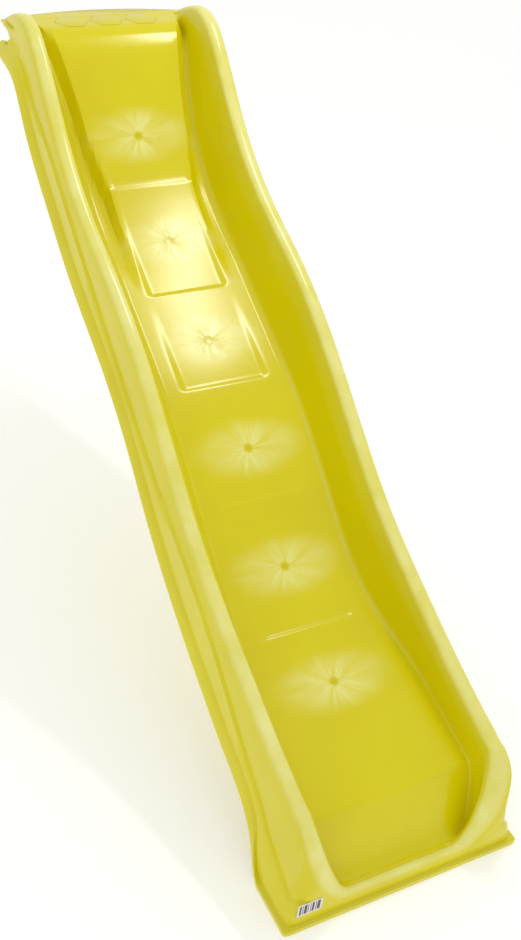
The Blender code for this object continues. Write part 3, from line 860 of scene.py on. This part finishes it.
# ---------------------------------------------------------------- pieces
@dataclass
class Chute:
    """The moulding itself: a fine skin with a wall, the lip's plate and the bar with the fixings' wells."""

    form: SlideForm
    places: Sequence[Plan]
    wall: float = 0.004
    row_step: float = 0.012
    exit_rows: Span = (0.046, 0.150, 0.0045)
    start_rows: Span = (1.655, 1.840, 0.006)
    step_rows: Span = (-0.003, 0.0121, 0.0025)
    gate_rows: Span = (-0.012, 0.0121, 0.003)
    closest_rows: float = 0.0014
    last_gap: float = 0.002
    columns: int = 50
    column_bias: Plan = (0.07, 0.05)
    spans: tuple[int, ...] = (2, 3, 2, 3, 3, 2, 2, 2, 3, 2, 2, 2, 2, 1, 2, 1, 1)
    first_straight: int = 12
    # painted sheen: how much paler each wall line is painted, standing in for the highlights on the cove, the
    # rail's crest and the skirt's lines
    cove_sheen: tuple[float, ...] = (0.25, 0.0, 0.0, 0.0)
    crest_sheen: tuple[float, ...] = (0.2, 0.7, 1.0, 1.0, 1.0, 0.8, 0.35, 0.05)
    skirt_sheen: tuple[float, ...] = (0.0, 0.1, 0.1, 0.15, 0.1)
    lip_plate: float = 0.0050
    lip_proud: float = 0.00015
    lip_front: float = 1.814
    lip_steps: int = 12
    ear_front: float = 1.742
    ear_width: float = 0.236
    ear_corner: Plan = (0.008, 0.02)
    ear_reach: float = 0.10
    lip_rounding: float = 0.0014
    cap_side: float = 0.0425
    cap_thickness: float = 0.0025
    clearance: float = 0.0006
    well_radius: float = 0.021
    well_depth: float = 0.0105
    hole_radius: float = 0.0046
    hole_reach: float = 0.02
    cut_above: float = 0.010
    seat_gap: float = 0.0003
    bar_wall: float = 0.004
    bar_top: float = 0.0022
    bar_corner: float = 0.018

    def rows(self) -> list[float]:
        """Returns the bed's stations, closer at the creases, the panels' steps and the injection marks."""
        form = self.form
        wanted = [*np.arange(form.bed_front, form.rear_of_wall, self.row_step), *np.arange(*self.exit_rows),
                  *np.arange(*self.start_rows), form.rear_of_wall]
        for panel in form.panels:
            wanted += [panel.lower + offset for offset in np.arange(*self.step_rows)]
        for gate in form.gate_places():
            wanted += [gate + offset for offset in np.arange(*self.gate_rows)]
        rows = [form.bed_front]
        for d in sorted(wanted):
            if d - rows[-1] > self.closest_rows and form.rear_of_wall - d > self.last_gap:
                rows.append(float(d))
        return [*rows, form.rear_of_wall]

    def shares(self) -> list[float]:
        """Returns the bed's columns as shares of its half width, closer at the middle and at its edges."""
        half = self.columns // 2
        even = np.linspace(0.0, 1.0, half + 1)
        middle, edge = self.column_bias
        share = even + middle * np.sin(2 * np.pi * even) * (1 - even) - edge * np.sin(np.pi * even)
        return [*(-share[:0:-1]), *share]

    def bed_grid(self, mesh: Mesh, rows: Sequence[float], shares: Sequence[float],
                 girth: bmesh.types.BMLayerItem) -> list[list[Vert]]:
        """Makes the bed from a grid.

        Args:
            mesh: What takes the bed.
            rows: Distances of its rows from the toe.
            shares: Its columns as shares of its half width.
            girth: Vertex layer for the distances along and across the surface.

        Returns:
            The bed's vertices by row and column.
        """
        form, gates = self.form, self.form.gate_places()
        made = bmesh.ops.create_grid(mesh, x_segments=len(shares) - 1, y_segments=len(rows) - 1, size=0.5)
        verts = sorted(made["verts"], key=lambda v: (round(v.co.y, 6), v.co.x))
        grid = [verts[i * len(shares):(i + 1) * len(shares)] for i in range(len(rows))]
        for d, line in zip(rows, grid):
            run, half = form.run(d), form.bed_half_width(d)
            outline = Outline(half, form.bed_front, form.bed_corner)
            for share, vert in zip(shares, line):
                x, at = outline.rounded(share * half, d)
                vert.co = (x, form.toe + at, form.pressed_bed(at, x, gates))
                vert[girth] = Vector((x, run, 0.0))
        return grid

    def fine_sections(self, spots: Sequence[BorderSpot], border: Sequence[Vert],
                      inner: Sequence[Vert]) -> np.ndarray:
        """The wall's sections with smooth points between the design's own.

        Args:
            spots: The border's places.
            border: The bed's border vertices in the same order.
            inner: The bed's next vertices inwards, which give the direction in which the wall sets off.

        Returns:
            An array of loops by spots by coordinates.
        """
        crests = self.form.crests(spots)
        coarse = []
        for spot, crest, vert in zip(spots, crests, border):
            points = [(x, self.form.toe + d, z) for x, d, z in self.form.section(spot, crest, vert.co.z)]
            coarse.append([tuple(vert.co), *points])
        line = np.array(coarse)
        step = np.linalg.norm(np.diff(line, axis=1), axis=2, keepdims=True) + 1e-9
        slope = np.diff(line, axis=1) / step
        middle = (step[:, :-1] * slope[:, 1:] + step[:, 1:] * slope[:, :-1]) / (step[:, :-1] + step[:, 1:])
        start = np.array([tuple((a.co - b.co).normalized()) for a, b in zip(border, inner)])[:, None, :]
        tangent = np.concatenate([start, middle, slope[:, -1:]], axis=1)
        loops = []
        for i, count in enumerate(self.spans):
            if i >= self.first_straight:
                loops += [line[:, i] + (line[:, i + 1] - line[:, i]) * k / count for k in range(1, count + 1)]
                continue
            for k in range(1, count + 1):
                t = k / count
                reach = step[:, i] * np.array([t * (1 - t) ** 2])
                back = step[:, i] * np.array([t * t * (t - 1)])
                rise = t * t * (3 - 2 * t)
                loops.append(line[:, i] * (1 - rise) + line[:, i + 1] * rise + reach * tangent[:, i]
                             + back * tangent[:, i + 1])
        return np.array(loops)

    def wall_sheen(self) -> list[float]:
        """Returns how much painted sheen lightens each of the wall's lines, most on the crest of the rail."""
        coarse = [*self.cove_sheen, *self.crest_sheen, *self.skirt_sheen]
        return [a + (b - a) * k / count for a, b, count in zip([0.0, *coarse], coarse, self.spans)
                for k in range(1, count + 1)]

    def skin(self) -> Mesh:
        """Returns the moulding's outer skin: the bed's grid, its border extruded into the wall by loops."""
        form, rows, shares = self.form, self.rows(), self.shares()
        mesh = bmesh.new()
        mesh.verts.layers.float_vector.new("girth_place")
        mesh.verts.layers.float.new("crest")
        # a new layer moves the earlier ones, so both are looked up once both are there
        girth = mesh.verts.layers.float_vector["girth_place"]
        crest = mesh.verts.layers.float["crest"]
        grid = self.bed_grid(mesh, rows, shares, girth)
        border = [*(line[0] for line in reversed(grid)), *grid[0][1:-1], *(line[-1] for line in grid)]
        inner = [*(line[1] for line in reversed(grid)), *grid[1][1:-1], *(line[-2] for line in grid)]
        spots = [*(BorderSpot(-1, d) for d in reversed(rows)),
                 *(BorderSpot(0, share) for share in shares[1:-1]), *(BorderSpot(1, d) for d in rows)]
        sections = self.fine_sections(spots, border, inner)
        edges = [mesh.edges.get(pair) for pair in zip(border, border[1:])]
        for places, line_sheen in zip(sections, self.wall_sheen()):
            grown = bmesh.ops.extrude_edge_only(mesh, edges=edges)["geom"]
            fresh = {item for item in grown if isinstance(item, Vert)}
            outer = [next(edge.other_vert(vert) for edge in vert.link_edges if edge.other_vert(vert) in fresh)
                     for vert in border]
            for vert, before, place, spot in zip(outer, border, places, spots):
                vert.co = place
                # the crest layer carries each line's share of painted sheen
                vert[crest] = line_sheen
                reach = (vert.co - before.co).length
                vert[girth] = before[girth] + Vector((reach * spot.side, 0.0 if spot.side else -reach, 0.0))
            border = outer
            edges = [mesh.edges.get(pair) for pair in zip(border, border[1:])]
        bmesh.ops.recalc_face_normals(mesh, faces=mesh.faces)
        middle = grid[len(grid) // 2][len(shares) // 2]
        if middle.normal.z < 0 or middle.link_faces[0].normal.z < 0:
            bmesh.ops.reverse_faces(mesh, faces=mesh.faces)
        uv = mesh.loops.layers.uv.new("girth")
        for face in mesh.faces:
            for corner in face.loops:
                corner[uv].uv = corner.vert[girth][:2]
        mesh.verts.layers.float_vector.remove(girth)
        return mesh

    def lip(self) -> Mesh:
        """Returns the thin plate of the lip, with its bowed rear edge and an ear past each rail."""
        form, half, ear, inner = self.form, self.form.lip_half_width, self.ear_front, self.ear_width
        bow, steps, (cut, back) = form.lip_rear - form.lip_rear_corner, self.lip_steps, self.ear_corner
        rear = [(half * i / steps, form.lip_rear - bow * (i / steps) ** 2) for i in range(-steps, steps + 1)]
        outline = [*rear, (half, ear + back), (half - cut, ear), (inner, ear), (inner, self.lip_front),
                   (-inner, self.lip_front), (-inner, ear), (cut - half, ear), (-half, ear + back)]
        mesh = bmesh.new()
        bottom = form.pad_top + self.lip_proud - self.lip_plate
        verts = [mesh.verts.new((x, form.toe + d, bottom)) for x, d in outline]
        grown = bmesh.ops.extrude_face_region(mesh, geom=[mesh.faces.new(verts)])["geom"]
        bmesh.ops.translate(mesh, verts=[v for v in grown if isinstance(v, Vert)],
                            vec=(0, 0, self.lip_plate))
        bmesh.ops.recalc_face_normals(mesh, faces=mesh.faces)
        upright = set(upright_edges(mesh))
        rims = []
        for edge in (edge for edge in mesh.edges if edge not in upright):
            ends = [vert.co.y - form.toe for vert in edge.verts]
            outward = max(abs(vert.co.x) for vert in edge.verts) > inner - LEVEL
            at_ear = outward and sum(ends) / 2 > form.lip_rear_corner - self.ear_reach
            if at_ear or min(ends) > form.lip_rear_corner:
                rims.append(edge)
        bevel(mesh, rims, self.lip_rounding, 2)
        return mesh

    def bar(self) -> Mesh:
        """Returns the bar under the lip that holds the wells and rests on the deck."""
        half = max(x for x, _ in self.places) + self.cap_side + self.bar_wall
        deep = self.cap_side * math.sqrt(3) / 2 + self.bar_wall
        low, high = self.form.lip_top - self.well_depth - self.bar_wall, self.form.lip_top - self.bar_top
        mesh = bmesh.new()
        add_box(mesh, (2 * half, 2 * deep, high - low), (0.0, self.places[0][1], (low + high) / 2))
        bevel(mesh, upright_edges(mesh), self.bar_corner, 6)
        return mesh

    def pockets(self, sides: int, radius: float, bottom: float) -> Mesh:
        """Prisms that cut from above the lip down to a height, one at each fixing.

        Args:
            sides: Sides of each prism.
            radius: Centre to corner.
            bottom: How far down they cut.

        Returns:
            The prisms.
        """
        mesh = bmesh.new()
        for place in self.places:
            add_prism(mesh, sides, radius, bottom, self.form.lip_top + self.cut_above, place)
        return mesh

    def build(self, yellow: Material) -> Piece:
        """Builds the chute.

        Args:
            yellow: The moulding's material.

        Returns:
            The piece.
        """
        chute = add_piece("chute_moulding", self.skin(), [yellow])
        wall = chute.modifiers.new("wall", "SOLIDIFY")
        wall.thickness = self.wall
        wall.offset = -1.0
        wall.use_even_offset = True
        seat = self.form.lip_top - self.cap_thickness - self.seat_gap
        floor = self.form.lip_top - self.well_depth
        shapes = (("lip_plate", self.lip(), "UNION"), ("fixing_bar", self.bar(), "UNION"),
                  ("cap_seats", self.pockets(6, self.cap_side + self.clearance, seat), "DIFFERENCE"),
                  ("screw_wells", self.pockets(48, self.well_radius, floor), "DIFFERENCE"),
                  ("screw_holes", self.pockets(24, self.hole_radius, floor - self.hole_reach), "DIFFERENCE"))
        tools = [(add_piece(name, mesh), operation) for name, mesh, operation in shapes]
        for tool, operation in tools:
            solid_modifier(chute, tool, operation)
        finished(chute)
        for tool, _ in tools:
            bpy.data.objects.remove(tool)
        return chute


@dataclass
class CoverCap:
    """A hexagonal cap with rounded edges and a snap ring under it."""

    place: Plan
    top: float
    side: float = 0.0425
    thickness: float = 0.0025
    edge: float = 0.0007
    corner: float = 0.0016
    ring_radius: float = 0.0207
    ring_wall: float = 0.0016
    ring_depth: float = 0.0045
    ring_root: float = 0.001
    ring_lead: Plan = (0.0005, 0.0008)

    def build(self, name: str, yellow: Material) -> Piece:
        """Builds the cap.

        Args:
            name: Name of the piece.
            yellow: Its material.

        Returns:
            The piece.
        """
        bottom = self.top - self.thickness
        mesh = bmesh.new()
        add_prism(mesh, 6, self.side, bottom, self.top, self.place)
        bevel(mesh, upright_edges(mesh), self.corner, 3)
        rim = [edge for edge in mesh.edges if all(vert.co.z > self.top - 0.0001 for vert in edge.verts)]
        bevel(mesh, rim, self.edge, 3)
        cap = add_piece(name, mesh, [yellow])
        outer, inner = self.ring_radius, self.ring_radius - self.ring_wall
        low, root, (inwards, upwards) = bottom - self.ring_depth, bottom + self.ring_root, self.ring_lead
        outline = [(inner, root), (outer, root), (outer, low + upwards), (outer - inwards, low), (inner, low)]
        ring = add_piece("snap_ring", spun(outline, self.place, 48, True))
        solid_modifier(cap, ring, "UNION")
        finished(cap)
        bpy.data.objects.remove(ring)
        return cap


@dataclass
class DeckScrew:
    """A round-head wood screw with a cross recess, driven through the lip's bar."""

    place: Plan
    well_floor: float
    clearance: float = 0.0003
    washer: float = 0.0016
    head_radius: float = 0.0075
    head_height: float = 0.0042
    shank: float = 0.0040
    length: float = 0.050
    thread_pitch: float = 0.0026
    thread_depth: float = 0.0011
    thread_crest: float = 0.0001
    plain: float = 0.012
    neck_share: float = 0.8
    point: float = 0.006
    head_rim: float = 0.001
    recess: Span = (0.0062, 0.0014, 0.005)
    recess_raise: float = 0.0007

    def profile(self) -> list[Plan]:
        """Returns the screw's outline as (radius, height), from the top of the head to the tip."""
        under = self.well_floor + 2 * self.clearance + self.washer
        dome = self.head_height - self.head_rim
        head = [(self.head_radius * math.sin(turn), under + self.head_rim + dome * math.cos(turn))
                for turn in np.linspace(0.0, math.pi / 2, 9)]
        head[0] = (0.0, head[0][1])
        points = [*head, (self.head_radius, under), (self.shank * self.neck_share, under)]
        at, end = under - self.plain, under - self.length + self.point
        root, crest = self.shank - self.thread_depth, self.shank - self.thread_crest
        while at - self.thread_pitch > end:
            points += [(root, at), (crest, at - self.thread_pitch / 2)]
            at -= self.thread_pitch
        return [*points, (root, end), (0.0, under - self.length)]

    def build(self, name: str, steel: Material) -> Piece:
        """Builds the screw.

        Args:
            name: Name of the piece.
            steel: Its material.

        Returns:
            The piece.
        """
        screw = add_piece(name, spun(self.profile(), self.place, 32, False), [steel], 30.0)
        centre = (*self.place, self.profile()[0][1] + self.recess_raise)
        long, wide, deep = self.recess
        mesh = bmesh.new()
        for size in ((long, wide, deep), (wide, long, deep)):
            add_box(mesh, size, centre)
        recess = add_piece("cross_recess", mesh)
        modifier = screw.modifiers.new("recess", "BOOLEAN")
        modifier.operation, modifier.solver, modifier.object = "DIFFERENCE", "EXACT", recess
        modifier.use_self = True
        finished(screw, 30.0)
        bpy.data.objects.remove(recess)
        return screw


@dataclass
class Sticker:
    """A small printed film low on the left of the front face, with plain bars that say nothing."""

    margin: float = 0.0045
    bars: tuple[float, ...] = (2.0, 1.2, 0.8, 1.0, 3.0, 1.0, 0.8, 1.6, 0.8, 1.0, 2.4, 1.4, 0.8, 0.9, 3.2)

    def build(self, film: Material, ink: Material) -> Piece:
        """Builds the sticker in the place of its CAD node.

        Args:
            film: Material of the film.
            ink: Material of the bars.

        Returns:
            The piece.
        """
        low, high = (Vector(corner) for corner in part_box("barcode_label"))
        mesh = bmesh.new()
        add_box(mesh, high - low, (low + high) / 2)
        unit = (high.x - low.x - 2 * self.margin) / sum(self.bars)
        edges, at = [], low.x + self.margin
        for width in self.bars:
            edges.append((at, at + width * unit))
            at += width * unit
        cuts = [((x, 0, 0), (1, 0, 0)) for x in sorted({x for pair in edges for x in pair})]
        cuts += [((0, 0, z), (0, 0, 1)) for z in (low.z + self.margin, high.z - self.margin)]
        for point, normal in cuts:
            bmesh.ops.bisect_plane(mesh, geom=[*mesh.verts, *mesh.edges, *mesh.faces], plane_co=point,
                                   plane_no=normal, dist=1e-7)
        dark = edges[::2]
        for face in mesh.faces:
            centre = face.calc_center_median()
            in_bar = any(start < centre.x < end for start, end in dark)
            if face.normal.y < -0.5 and in_bar and low.z + self.margin < centre.z < high.z - self.margin:
                face.material_index = 1
        return add_piece("generic_label", mesh, [film, ink])


@dataclass
class Studio:
    """A pale floor, a soft light in a white room and the camera."""

    floor: str = "#F4F4F2"
    floor_half: float = 9.0
    floor_roughness: float = 0.7
    floor_glow: float = 0.27
    world: float = 0.82
    softbox: Point = (1.02, 0.41, 3.2)
    softbox_aim: Point = (0.0, 0.20, 0.65)
    softbox_size: Plan = (0.85, 0.11)
    softbox_watts: float = 14.0
    eye: Point = (-1.1193, -2.0031, 2.1355)
    target: Point = (-0.1022, -0.3230, 0.6708)
    roll_degrees: float = 7.2
    lens: float = 45.96

    def add_floor(self) -> None:
        """Adds the floor."""
        mesh = bmesh.new()
        bmesh.ops.create_grid(mesh, x_segments=1, y_segments=1, size=self.floor_half)
        finish = Finish("studio_floor", {
            "Base Color": linear(self.floor), "Roughness": self.floor_roughness,
            "Emission Color": linear(self.floor), "Emission Strength": self.floor_glow})
        add_piece("studio_floor", mesh, [finish.material])

    def add_softbox(self) -> None:
        """Adds a long soft light over the slide."""
        data = bpy.data.lights.new("overhead_softbox", "AREA")
        data.shape, (data.size, data.size_y) = "RECTANGLE", self.softbox_size
        data.energy = self.softbox_watts
        light = bpy.data.objects.new("overhead_softbox", data)
        light.location = self.softbox
        towards = Vector(self.softbox_aim) - Vector(self.softbox)
        light.rotation_euler = towards.to_track_quat("-Z", "Y").to_euler()
        bpy.context.scene.collection.objects.link(light)

    def add_world(self) -> None:
        """Adds an even white surrounding light."""
        world = bpy.data.worlds.new("white_room")
        bpy.context.scene.world = world
        world.use_nodes = True
        background = world.node_tree.nodes["Background"]
        background.inputs["Color"].default_value = (1.0, 1.0, 1.0, 1.0)
        background.inputs["Strength"].default_value = self.world

    def add_camera(self) -> None:
        """Adds the camera, above and to the left of the foot, looking up the slide."""
        data = bpy.data.cameras.new("camera")
        data.lens = self.lens
        data.sensor_width = 36.0
        camera = bpy.data.objects.new("camera", data)
        look = (Vector(self.target) - Vector(self.eye)).to_track_quat("-Z", "Y").to_matrix().to_4x4()
        camera.matrix_world = (Matrix.Translation(self.eye) @ look
                               @ Matrix.Rotation(math.radians(self.roll_degrees), 4, "Z"))
        bpy.context.scene.collection.objects.link(camera)
        bpy.context.scene.camera = camera

    def build(self) -> None:
        """Builds the studio."""
        self.add_floor()
        self.add_world()
        self.add_softbox()
        self.add_camera()
        bpy.context.scene.view_settings.view_transform = "Standard"


# ---------------------------------------------------------------- assembly
def declare(piece: Piece, body: Body, slot: Slot, *nodes: str) -> None:
    """Tells the frame what a piece is, and reports it.

    Args:
        piece: The piece.
        body: The body that it rides on.
        slot: Its material slot in the record; not used.
        *nodes: CAD nodes that it stands for.
    """
    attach(piece, body.value)
    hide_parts(*nodes)
    LOG.info("%s rides on %s", piece.name, body.value)


def main() -> None:
    """Builds the slide's pieces in order around the frame."""
    logging.basicConfig(level=logging.INFO, format="%(name)s: %(message)s")
    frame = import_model()
    form = SlideForm()
    Studio().build()

    boxes = [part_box(f"cover_cap_{number}") for number in (1, 2, 3)]
    places = [((low[0] + high[0]) / 2, (low[1] + high[1]) / 2) for low, high in boxes]
    plastic, print_film, steel = MouldedPolyethylene(), PrintedFilm(), ZincPlate().material()
    yellow, plain_yellow = plastic.material(form, marks=True), plastic.material(form, marks=False)

    chute = Chute(form, places)
    declare(chute.build(yellow), Body.SLIDE, Slot.YELLOW, "chute")
    for number, (place, body) in enumerate(zip(places, (Body.CAP_1, Body.CAP_2, Body.CAP_3)), 1):
        cap = CoverCap(place, form.lip_top).build(f"hex_cap_{number}", plain_yellow)
        declare(cap, body, Slot.YELLOW, f"cover_cap_{number}")
        screw = DeckScrew(place, form.lip_top - chute.well_depth).build(f"round_head_screw_{number}", steel)
        declare(screw, Body.SLIDE, Slot.STEEL, f"deck_screw_{number}")
        for slot in frame["nodes"][f"washer_{number}"].material_slots:
            slot.material = steel
    label = Sticker().build(print_film.material(printed=False), print_film.material(printed=True))
    declare(label, Body.SLIDE, Slot.FILM, "barcode_label")


if __name__ == "__main__":
    main()
